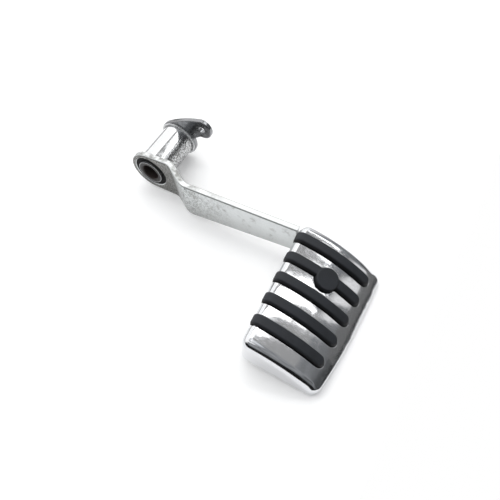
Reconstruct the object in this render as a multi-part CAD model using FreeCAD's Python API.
import FreeCAD
import Part
import math
import os

# Foot brake pedal of a motorbike, lying as photographed.
# The pivot axis is Y and the origin is on it, in the outer face of the arm's eye.
# X runs from the pivot to the foot pad, Z is up, all sizes are millimetres.

os.makedirs("parts", exist_ok=True)

# Level of the ground under the lying pedal
FLOOR_Z = -20.0

# Pivot tube and what is pressed into it
TUBE_OD = 28.6
TUBE_BORE_D = 21.4
BUSH_BORE_D = 14.3
BUSH_LENGTH = 19.0
BUSH_PROUD = 0.7
SEAL_RECESS = 3.0
SEAL_SINK = 0.8
EYE_CHAMFER = 0.8

# Arm: flat bar with an eye at the pivot and one offset bend
BAR_T = 5.0
EYE_R = 18.0
TOP_START_Z = 18.0
TOP_END_Z = 15.6
BELLY_Z = -19.8
NECK_Z = -16.2
TAIL_X = 142.0
TAIL_Z = -9.6
JOG_X1 = 23.5
JOG_X2 = 43.5
JOG_SHIFT = 13.6
BEND_R = 12.0
BELLY_R = 30.0
BAR_BEVEL = 0.7

# Push lever on the far end of the tube
HUB_LENGTH = 45.6
LEVER_T = 4.0
LEVER_EYE_R = 16.6
LOBE_X = 27.6
LOBE_Z = 18.8
LOBE_R = 8.6
LEVER_CROWN_R = 110.0
NECK_HALF = 5.2
NECK_R = 3.0
CLEVIS_D = 6.2
LEVER_BEVEL = 0.6

# Weld beads
WELD_LEG = 2.0
PLATE_WELD_LEG = 3.0
PLATE_WELD_START_U = 6.5
PLATE_WELD_END_U = 27.5

# Foot pad, in its own frame: u away from the pivot along the rim, y along the pivot axis,
# n square to the rim. The arch of the face is a cylinder along y.
PAD_PITCH = 10.45
PAD_X = 138.8
PAD_FAR_Y = -4.2
PAD_NEAR_Y = -101.3
PAD_LEFT_FAR = -2.6
PAD_LEFT_NEAR = 2.2
PAD_RIGHT_FAR = 60.4
PAD_RIGHT_MID = 61.4
PAD_RIGHT_MID_Y = -36.0
PAD_RIGHT_NEAR = 56.4
PAD_CORNER_R = 6.5
CROWN_U = 3.8
CROWN_N = 25.9
ARCH_R = 84.5
TOP_EDGE_R = 6.0
OUTER_EDGE_R = 2.0
COVER_T = 2.0
INNER_BEVEL = 3.0

# Rubber insert
RIB_COUNT = 5
RIB_FIRST_Y = -17.4
RIB_PITCH = 16.4
RIB_WIDTH = 7.0
RIB_HEIGHT = 3.0
RIB_SIDE_PROUD = 0.4
RIB_WRAP_R = 6.5
RIB_BEVEL = 0.8
RIB_TIP_GAP = 6.8
RIB_HEEL_N = 18.5
BACKING_T = 2.5
RUBBER_FIT = 0.1
SHEET_END_U = 57.0
DISC_D = 15.8
DISC_RIB = 1
DISC_U = 29.5
DISC_SIDE_SHIFT = 1.6
DISC_PROUD = 0.2
DISC_BEVEL = 0.6

# Steel plate under the cover and what holds the cover to it
PLATE_T = 4.0
PLATE_FIT = 0.8
PLATE_END_U = 54.6
ARM_FIT = 0.4
TONGUE_U = 33.0
SCREW_U = 48.6
SCREW_D = 5.0
SCREW_FIT = 0.3
SCREW_HEAD_AF = 8.0
SCREW_HEAD_T = 3.2
WASHER_OD = 9.6
WASHER_T = 1.1
BOSS_R = 4.5
BOSS_SKIN = 0.9

# Values that follow from the ones above
TUBE_R = TUBE_OD / 2
BORE_R = TUBE_BORE_D / 2
BUSH_R = BUSH_BORE_D / 2
LEVER_Y = HUB_LENGTH - LEVER_T
PLATE_TOP_R = ARCH_R - COVER_T - BACKING_T
PLATE_LOW_R = PLATE_TOP_R - PLATE_T
SHOULDER_N = CROWN_N - COVER_T - BACKING_T - PLATE_T
PAD_Z = FLOOR_Z + PAD_RIGHT_MID * math.sin(math.radians(PAD_PITCH))
REACH = 200.0
BELOW_RIM = 10.0

AXIS_Y = FreeCAD.Vector(0, 1, 0)
ARCH_CENTRE = FreeCAD.Vector(CROWN_U, 0, CROWN_N - ARCH_R)
PAD_PLACE = FreeCAD.Placement(FreeCAD.Vector(PAD_X, 0, PAD_Z), FreeCAD.Rotation(AXIS_Y, PAD_PITCH))


def in_plan(a, b):
    """Point of a plan outline."""
    return FreeCAD.Vector(a, b, 0)


def in_side(a, b):
    """Point of a side outline."""
    return FreeCAD.Vector(a, 0, b)


def rounded_wire(corners, lift):
    """Closed wire through corners (a, b, radius), each rounded by an arc of its radius."""
    runs = []
    for i, (a, b, radius) in enumerate(corners):
        here = FreeCAD.Vector(a, b, 0)
        before = FreeCAD.Vector(corners[i - 1][0], corners[i - 1][1], 0)
        after = FreeCAD.Vector(corners[(i + 1) % len(corners)][0], corners[(i + 1) % len(corners)][1], 0)
        back = (before - here).normalize()
        ahead = (after - here).normalize()
        half = back.getAngle(ahead) / 2
        inward = (back + ahead).normalize()
        reach = radius / math.tan(half)
        middle = here + inward * (radius / math.sin(half) - radius)
        runs.append((here + back * reach, middle, here + ahead * reach, radius))
    edges = []
    for i, (start, middle, end, radius) in enumerate(runs):
        following = runs[(i + 1) % len(runs)][0]
        if radius > 0:
            edges.append(Part.Arc(lift(start.x, start.y), lift(middle.x, middle.y), lift(end.x, end.y)).toShape())
        if (following - end).Length > 1e-6:
            edges.append(Part.makeLine(lift(end.x, end.y), lift(following.x, following.y)))
    return Part.Wire(edges)


def seat(shape):
    """Move a shape from the pad's frame to where the pad sits."""
    moved = shape.copy()
    moved.Placement = PAD_PLACE.multiply(moved.Placement)
    return moved


def ring(outer, inner, start, end):
    """Round ring about the pivot axis from start to end along it."""
    solid = Part.makeCylinder(outer, end - start, FreeCAD.Vector(0, start, 0), AXIS_Y)
    hole = Part.makeCylinder(inner, end - start, FreeCAD.Vector(0, start, 0), AXIS_Y)
    return solid.cut(hole)


def weld_ring(face_y, side):
    """Fillet bead round the tube on a plate's face, side is the way it climbs along the tube."""
    foot = FreeCAD.Vector(TUBE_R, face_y, 0)
    out = FreeCAD.Vector(TUBE_R + WELD_LEG, face_y, 0)
    up = FreeCAD.Vector(TUBE_R, face_y + side * WELD_LEG, 0)
    bead = Part.Face(Part.makePolygon([foot, out, up, foot]))
    return bead.revolve(FreeCAD.Vector(0, 0, 0), AXIS_Y, 360)


# Pivot tube: steel tube, both ends set back for the seals
tube = ring(TUBE_R, BORE_R, SEAL_RECESS, HUB_LENGTH - SEAL_RECESS)
tube.exportStep("parts/pivot_tube.step")

# Bushings: plain sleeves pressed in from both ends, each standing proud by its lead chamfer
outer_bushing = ring(BORE_R, BUSH_R, -BUSH_PROUD, BUSH_LENGTH)
mouth = Part.makeCone(
    BUSH_R + BUSH_PROUD, BUSH_R, BUSH_PROUD, AXIS_Y * -BUSH_PROUD, AXIS_Y)
outer_bushing = outer_bushing.cut(mouth)
outer_bushing.exportStep("parts/outer_bushing.step")

inner_bushing = ring(BORE_R, BUSH_R, HUB_LENGTH - BUSH_LENGTH, HUB_LENGTH + BUSH_PROUD)
mouth = Part.makeCone(
    BUSH_R, BUSH_R + BUSH_PROUD, BUSH_PROUD, AXIS_Y * HUB_LENGTH, AXIS_Y)
inner_bushing = inner_bushing.cut(mouth)
inner_bushing.exportStep("parts/inner_bushing.step")

# Seals: rubber rings in the recess between bushing and eye
ring(TUBE_R, BORE_R, SEAL_SINK, SEAL_RECESS).exportStep("parts/outer_seal_ring.step")
ring(TUBE_R, BORE_R, HUB_LENGTH - SEAL_RECESS, HUB_LENGTH - SEAL_SINK).exportStep("parts/inner_seal_ring.step")

# Arm, plan of the bar: two straight runs joined by the offset bend
jog_angle = math.atan2(JOG_SHIFT, JOG_X2 - JOG_X1)
mitre = BAR_T / 2 * math.tan(jog_angle / 2)
bar_plan = rounded_wire([
    (-REACH, 0, 0),
    (JOG_X1 - mitre, 0, BEND_R),
    (JOG_X2 - mitre, -JOG_SHIFT, BEND_R + BAR_T),
    (REACH, -JOG_SHIFT, 0),
    (REACH, BAR_T - JOG_SHIFT, 0),
    (JOG_X2 + mitre, BAR_T - JOG_SHIFT, BEND_R),
    (JOG_X1 + mitre, BAR_T, BEND_R + BAR_T),
    (-REACH, BAR_T, 0),
], in_plan)
bar_strip = Part.Face(bar_plan).extrude(FreeCAD.Vector(0, 0, REACH))
bar_strip.translate(FreeCAD.Vector(0, 0, -REACH / 2))

# Arm, side of the bar: eye, straight top edge, belly under the bend, taper to the pad
belly_slope = math.atan2(BELLY_Z + EYE_R, JOG_X1)
tail_slope = (TAIL_Z - NECK_Z) / (TAIL_X - JOG_X2)
top_slope = (TOP_END_Z - TOP_START_Z) / TAIL_X
bar_side = rounded_wire([
    (0, 0, 0),
    (EYE_R * math.sin(belly_slope), -EYE_R * math.cos(belly_slope), 0),
    (JOG_X1, BELLY_Z, BELLY_R),
    (JOG_X2, NECK_Z, BELLY_R),
    (REACH, NECK_Z + tail_slope * (REACH - JOG_X2), 0),
    (REACH, TOP_START_Z + top_slope * REACH, 0),
    (0, TOP_START_Z, 0),
], in_side)
bar_solid = Part.Face(bar_side).extrude(FreeCAD.Vector(0, 2 * REACH, 0))
bar_solid.translate(FreeCAD.Vector(0, -REACH, 0))
eye = Part.makeCylinder(EYE_R, 2 * REACH, FreeCAD.Vector(0, -REACH, 0), AXIS_Y)
arm = bar_solid.fuse(eye).removeSplitter().common(bar_strip)

# Arm, end at the pad: a shoulder before the cover's wall and a tongue under the steel plate
shoulder_u = PAD_LEFT_FAR - ARM_FIT
shoulder = Part.makeBox(REACH, REACH, REACH, FreeCAD.Vector(shoulder_u, -REACH / 2, SHOULDER_N))
under_plate = Part.makeCylinder(PLATE_LOW_R, REACH, ARCH_CENTRE - AXIS_Y * REACH, AXIS_Y)
tongue_end = Part.makeBox(REACH, REACH, REACH, FreeCAD.Vector(TONGUE_U, -REACH / 2, -REACH / 2))
past_wall = Part.makeBox(REACH, REACH, REACH, FreeCAD.Vector(shoulder_u, -REACH / 2, -REACH / 2))
over_tongue = past_wall.cut(under_plate).fuse(shoulder).fuse(tongue_end)
arm = arm.cut(seat(over_tongue))
rim_edges = []
for edge in arm.Edges:
    box = edge.BoundBox
    if box.XMax < PAD_X and box.XLength > BAR_T:
        rim_edges.append(edge)
arm = arm.makeChamfer(BAR_BEVEL, rim_edges)
eye_hole = Part.makeCylinder(TUBE_R, BAR_T, FreeCAD.Vector(0, 0, 0), AXIS_Y)
eye_lead = Part.makeCone(TUBE_R + EYE_CHAMFER, TUBE_R, EYE_CHAMFER, FreeCAD.Vector(0, 0, 0), AXIS_Y)
arm = arm.cut(eye_hole).cut(eye_lead)
arm.exportStep("parts/brake_arm.step")

# Bead joining the arm's inner face to the tube
weld_ring(BAR_T, 1).exportStep("parts/arm_weld_bead.step")

# Push lever: flat plate with an eye, a narrow neck and the lobe with the clevis hole
lobe_angle = math.atan2(LOBE_Z, LOBE_X)
lobe_reach = math.hypot(LOBE_X, LOBE_Z)
along = FreeCAD.Vector(math.cos(lobe_angle), 0, math.sin(lobe_angle))
across = FreeCAD.Vector(math.sin(lobe_angle), 0, -math.cos(lobe_angle))
eye_gap = LEVER_CROWN_R - LEVER_EYE_R
lobe_gap = LEVER_CROWN_R - LOBE_R
crown_along = (lobe_reach ** 2 + eye_gap ** 2 - lobe_gap ** 2) / (2 * lobe_reach)
crown_centre = along * crown_along + across * math.sqrt(eye_gap ** 2 - crown_along ** 2)
to_eye = (crown_centre * -1).normalize()
to_lobe = (along * lobe_reach - crown_centre).normalize()
to_top = (to_eye + to_lobe).normalize()
crown = Part.Arc(
    crown_centre + to_lobe * LEVER_CROWN_R,
    crown_centre + to_top * LEVER_CROWN_R,
    crown_centre + to_eye * LEVER_CROWN_R,
).toShape()
neck_foot = across * NECK_HALF
neck_end = along * lobe_reach + across * NECK_HALF
web = Part.Wire([
    Part.makeLine(neck_foot, neck_end),
    Part.makeLine(neck_end, crown_centre + to_lobe * LEVER_CROWN_R),
    crown,
    Part.makeLine(crown_centre + to_eye * LEVER_CROWN_R, neck_foot),
])
lever = Part.makeCylinder(LEVER_EYE_R, LEVER_T, FreeCAD.Vector(0, 0, 0), AXIS_Y)
lever = lever.fuse(Part.makeCylinder(LOBE_R, LEVER_T, FreeCAD.Vector(LOBE_X, 0, LOBE_Z), AXIS_Y))
lever = lever.fuse(Part.Face(web).extrude(FreeCAD.Vector(0, LEVER_T, 0))).removeSplitter()
neck_edges = []
for edge in lever.Edges:
    spot = edge.BoundBox.Center
    offset = spot.dot(across)
    if edge.BoundBox.YLength > LEVER_T / 2 and abs(offset - NECK_HALF) < 0.01:
        neck_edges.append(edge)
lever = lever.makeFillet(NECK_R, neck_edges)
lever_edges = [edge for edge in lever.Edges if edge.BoundBox.YLength < 0.01]
lever = lever.makeChamfer(LEVER_BEVEL, lever_edges)
lever = lever.cut(Part.makeCylinder(TUBE_R, LEVER_T, FreeCAD.Vector(0, 0, 0), AXIS_Y))
lever = lever.cut(Part.makeCylinder(CLEVIS_D / 2, LEVER_T, FreeCAD.Vector(LOBE_X, 0, LOBE_Z), AXIS_Y))
lever.translate(FreeCAD.Vector(0, LEVER_Y, 0))
lever.exportStep("parts/push_lever.step")

# Bead joining the lever's outer face to the tube
weld_ring(LEVER_Y, -1).exportStep("parts/lever_weld_bead.step")


# Foot pad, plan of the cover: tapered pivot side, bowed outer side, rounded corners
bow = Part.Arc(
    in_plan(PAD_RIGHT_FAR, PAD_FAR_Y),
    in_plan(PAD_RIGHT_MID, PAD_RIGHT_MID_Y),
    in_plan(PAD_RIGHT_NEAR, PAD_NEAR_Y),
)
bow_circle = Part.Circle(
    in_plan(PAD_RIGHT_FAR, PAD_FAR_Y),
    in_plan(PAD_RIGHT_MID, PAD_RIGHT_MID_Y),
    in_plan(PAD_RIGHT_NEAR, PAD_NEAR_Y),
)
bow_centre = bow_circle.Center
bow_radius = bow_circle.Radius


def right_edge(y):
    """Distance u of the bowed edge at a place along the pad."""
    return bow_centre.x + math.sqrt(bow_radius ** 2 - (y - bow_centre.y) ** 2)


plan_face = Part.Face(Part.Wire([
    bow.toShape(),
    Part.makeLine(in_plan(PAD_RIGHT_NEAR, PAD_NEAR_Y), in_plan(PAD_LEFT_NEAR, PAD_NEAR_Y)),
    Part.makeLine(in_plan(PAD_LEFT_NEAR, PAD_NEAR_Y), in_plan(PAD_LEFT_FAR, PAD_FAR_Y)),
    Part.makeLine(in_plan(PAD_LEFT_FAR, PAD_FAR_Y), in_plan(PAD_RIGHT_FAR, PAD_FAR_Y)),
]))
plan_block = plan_face.extrude(FreeCAD.Vector(0, 0, 1.0))
upright = [edge for edge in plan_block.Edges if edge.BoundBox.ZLength > 0.5]
plan_block = plan_block.makeFillet(PAD_CORNER_R, upright)
plan_wire = [face for face in plan_block.Faces if face.BoundBox.ZMax < 0.01][0].OuterWire


def pad_block(side_grow, arch_grow):
    """Arched block on the pad's plan, its sides and its arch each moved out by an amount."""
    wire = plan_wire
    if side_grow != 0:
        wire = plan_wire.makeOffset2D(side_grow)
    block = Part.Face(wire).extrude(FreeCAD.Vector(0, 0, REACH))
    block.translate(FreeCAD.Vector(0, 0, -BELOW_RIM))
    arch = Part.makeCylinder(ARCH_R + arch_grow, 2 * REACH, ARCH_CENTRE + AXIS_Y * REACH, AXIS_Y * -1)
    return block.common(arch)


def top_edges(block):
    """Edges round the arched top of a block."""
    arched = [face for face in block.Faces if face.Surface.TypeId == "Part::GeomCylinder"]
    return max(arched, key=lambda face: face.Area).Edges


def edge_radius(spot):
    """Radius of the cover's top edge at a corner of its outline, smaller on the bowed side."""
    if abs(spot.x - right_edge(spot.y)) < 0.01:
        return OUTER_EDGE_R
    return TOP_EDGE_R


def round_top(block):
    """Rounds the top edges of a block, with the radius running from one corner's to the next."""
    sheet = FreeCAD.newDocument("cover")
    base = sheet.addObject("Part::Feature", "base")
    base.Shape = block
    rounded = sheet.addObject("Part::Fillet", "rounded")
    rounded.Base = base
    rim = top_edges(block)
    radii = []
    for number, edge in enumerate(block.Edges, 1):
        if any(edge.isSame(other) for other in rim):
            radii.append((number, edge_radius(edge.firstVertex().Point), edge_radius(edge.lastVertex().Point)))
    rounded.Edges = radii
    sheet.recompute()
    return rounded.Shape


def arch_band(inside, outside, edge_gap):
    """Part of the arch between two radii, kept away from the plan's outline by a gap."""
    band = Part.makeCylinder(outside, 2 * REACH, ARCH_CENTRE - AXIS_Y * REACH, AXIS_Y)
    band = band.cut(Part.makeCylinder(inside, 2 * REACH, ARCH_CENTRE - AXIS_Y * REACH, AXIS_Y))
    block = Part.Face(plan_wire.makeOffset2D(-edge_gap)).extrude(FreeCAD.Vector(0, 0, 2 * ARCH_R))
    block.translate(FreeCAD.Vector(0, 0, -BELOW_RIM))
    return band.common(block)


def lean_at(u):
    """Lean in degrees of the arch's normal where the cover's face is at u."""
    return math.degrees(math.asin((u - CROWN_U) / ARCH_R))


def past_spoke(u):
    """Half space on the outer side of the spoke of the arch that meets its face at u."""
    room = Part.makeBox(REACH, 2 * REACH, REACH, FreeCAD.Vector(0, -REACH, 0))
    room.Placement = FreeCAD.Placement(ARCH_CENTRE, FreeCAD.Rotation(AXIS_Y, lean_at(u)))
    return room


def rib_prism(index, fit):
    """Upright prism with the plan of one rib, widened by a fit, running out over the pivot side."""
    mid = RIB_FIRST_Y - index * RIB_PITCH
    half = RIB_WIDTH / 2 + fit
    tip_centre = right_edge(mid) - RIB_TIP_GAP - RIB_WIDTH / 2
    bar = Part.makeBox(
        REACH, 2 * half, REACH, FreeCAD.Vector(tip_centre - REACH, mid - half, -BELOW_RIM))
    tip = Part.makeCylinder(half, REACH, FreeCAD.Vector(tip_centre, mid, -BELOW_RIM))
    share = (PAD_FAR_Y - mid) / (PAD_FAR_Y - PAD_NEAR_Y)
    wall_u = PAD_LEFT_FAR + (PAD_LEFT_NEAR - PAD_LEFT_FAR) * share + COVER_T
    under_heel = Part.makeBox(
        REACH, REACH, REACH,
        FreeCAD.Vector(wall_u + PLATE_FIT - REACH, mid - REACH / 2, RIB_HEEL_N - fit - REACH))
    return bar.fuse(tip).removeSplitter().cut(under_heel)


def spoke(u, y):
    """Point on the arch's axis and outward direction of the spoke that meets the arch's face at u."""
    lean = math.radians(lean_at(u))
    return ARCH_CENTRE + AXIS_Y * y, FreeCAD.Vector(math.sin(lean), 0, math.cos(lean))


def round_bar(u, y, radius, low, high):
    """Cylinder along a spoke of the arch between two distances from the arch's axis."""
    base, out = spoke(u, y)
    return Part.makeCylinder(radius, high - low, base + out * low, out)


disc_y = RIB_FIRST_Y - DISC_RIB * RIB_PITCH - DISC_SIDE_SHIFT
screw_ys = [RIB_FIRST_Y - 0.5 * RIB_PITCH, RIB_FIRST_Y - 3.5 * RIB_PITCH]
cover_low_r = ARCH_R - COVER_T

# Cover: cast shell with five slots running over its pivot side, a round window and two bosses
cover_skin = round_top(pad_block(0, 0))
cover_room = pad_block(-COVER_T, -COVER_T)
cover_room = cover_room.makeChamfer(INNER_BEVEL, top_edges(cover_room))
cover = cover_skin.cut(cover_room)
rim_cut = Part.makeBox(2 * REACH, 2 * REACH, REACH, FreeCAD.Vector(-REACH, -REACH, -REACH))
cover = cover.cut(rim_cut)
for i in range(RIB_COUNT):
    cover = cover.cut(rib_prism(i, RUBBER_FIT))
cover = cover.cut(round_bar(DISC_U, disc_y, DISC_D / 2 + RUBBER_FIT, PLATE_LOW_R, REACH))
for y in screw_ys:
    cover = cover.fuse(round_bar(SCREW_U, y, BOSS_R, PLATE_TOP_R, cover_low_r + COVER_T / 2))
for y in screw_ys:
    cover = cover.cut(round_bar(SCREW_U, y, SCREW_D / 2, PLATE_LOW_R, ARCH_R - BOSS_SKIN))
arm_door = Part.makeBox(
    3 * COVER_T, BAR_T + 2 * ARM_FIT, SHOULDER_N + ARM_FIT + BELOW_RIM,
    FreeCAD.Vector(PAD_LEFT_FAR - COVER_T, -JOG_SHIFT - ARM_FIT, -BELOW_RIM))
cover = cover.cut(arm_door)
cover = cover.removeSplitter()
seat(cover).exportStep("parts/pad_cover.step")

# Rubber insert: a sheet between cover and plate, five ribs through the slots, a round stud
insert = arch_band(PLATE_TOP_R, cover_low_r, TOP_EDGE_R + RUBBER_FIT).cut(past_spoke(SHEET_END_U))
for y in screw_ys:
    insert = insert.cut(round_bar(SCREW_U, y, BOSS_R + RUBBER_FIT, PLATE_LOW_R, ARCH_R))
rib_skin = pad_block(RIB_SIDE_PROUD, RIB_HEIGHT)
rib_skin = rib_skin.makeFillet(RIB_WRAP_R, top_edges(rib_skin))
rib_shell = rib_skin.cut(cover_room)
skin_faces = Part.makeCompound(rib_skin.Faces)
for i in range(RIB_COUNT):
    rib = rib_shell.common(rib_prism(i, 0)).removeSplitter()
    mid = RIB_FIRST_Y - i * RIB_PITCH
    rim_edges = []
    for edge in rib.Edges:
        spot = edge.valueAt((edge.FirstParameter + edge.LastParameter) / 2)
        on_skin = skin_faces.distToShape(Part.Vertex(spot))[0] < 0.01
        at_side = abs(abs(spot.y - mid) - RIB_WIDTH / 2) < 0.01
        at_tip = spot.x > right_edge(mid) - RIB_TIP_GAP - RIB_WIDTH / 4
        if on_skin and (at_side or at_tip):
            rim_edges.append(edge)
    insert = insert.fuse(rib.makeChamfer(RIB_BEVEL, rim_edges))
stud = round_bar(DISC_U, disc_y, DISC_D / 2, PLATE_TOP_R, ARCH_R + RIB_HEIGHT + DISC_PROUD)
stud_rim = max(stud.Edges, key=lambda edge: edge.BoundBox.Center.z)
insert = insert.fuse(stud.makeChamfer(DISC_BEVEL, [stud_rim])).removeSplitter()
seat(insert).exportStep("parts/pad_insert.step")

# Pedal plate: arched steel plate under the rubber, bored for the screws and spot-faced for their washers
plate = arch_band(PLATE_LOW_R, PLATE_TOP_R, COVER_T + PLATE_FIT).cut(past_spoke(PLATE_END_U))
for y in screw_ys:
    plate = plate.cut(round_bar(SCREW_U, y, SCREW_D / 2 + SCREW_FIT, PLATE_LOW_R - PLATE_T, ARCH_R))
    plate = plate.cut(round_bar(SCREW_U, y, WASHER_OD / 2 + SCREW_FIT, PLATE_LOW_R - PLATE_T, PLATE_LOW_R))
seat(plate).exportStep("parts/pedal_plate.step")

# Bead joining the plate to the side of the arm's tongue
bead_corner = ARCH_CENTRE + FreeCAD.Vector(0, -JOG_SHIFT, PLATE_LOW_R)
bead = Part.Face(Part.makePolygon([
    bead_corner,
    bead_corner - AXIS_Y * PLATE_WELD_LEG,
    bead_corner - FreeCAD.Vector(0, 0, PLATE_WELD_LEG),
    bead_corner,
]))
bead.rotate(ARCH_CENTRE, AXIS_Y, lean_at(PLATE_WELD_START_U))
bead = bead.revolve(ARCH_CENTRE, AXIS_Y, lean_at(PLATE_WELD_END_U) - lean_at(PLATE_WELD_START_U))
seat(bead).exportStep("parts/plate_weld_bead.step")

# Screws with spring washers, put in from below
screws = []
washers = []
for y in screw_ys:
    base, out = spoke(SCREW_U, y)
    seat_r = PLATE_LOW_R - WASHER_T
    shank = round_bar(SCREW_U, y, SCREW_D / 2, seat_r, ARCH_R - BOSS_SKIN - SCREW_FIT)
    flats = []
    for k in range(7):
        turn = math.radians(60 * k)
        corner = SCREW_HEAD_AF / math.sqrt(3)
        flats.append(FreeCAD.Vector(corner * math.cos(turn), corner * math.sin(turn), 0))
    head = Part.Face(Part.makePolygon(flats)).extrude(FreeCAD.Vector(0, 0, SCREW_HEAD_T))
    head.Placement = FreeCAD.Placement(
        base + out * (seat_r - SCREW_HEAD_T), FreeCAD.Rotation(FreeCAD.Vector(0, 0, 1), out))
    screws.append(shank.fuse(head).removeSplitter())
    washer = round_bar(SCREW_U, y, WASHER_OD / 2, seat_r, PLATE_LOW_R)
    washers.append(washer.cut(round_bar(SCREW_U, y, SCREW_D / 2, seat_r, PLATE_LOW_R)))
seat(Part.makeCompound(screws)).exportStep("parts/pad_screws.step")
seat(Part.makeCompound(washers)).exportStep("parts/lock_washers.step")
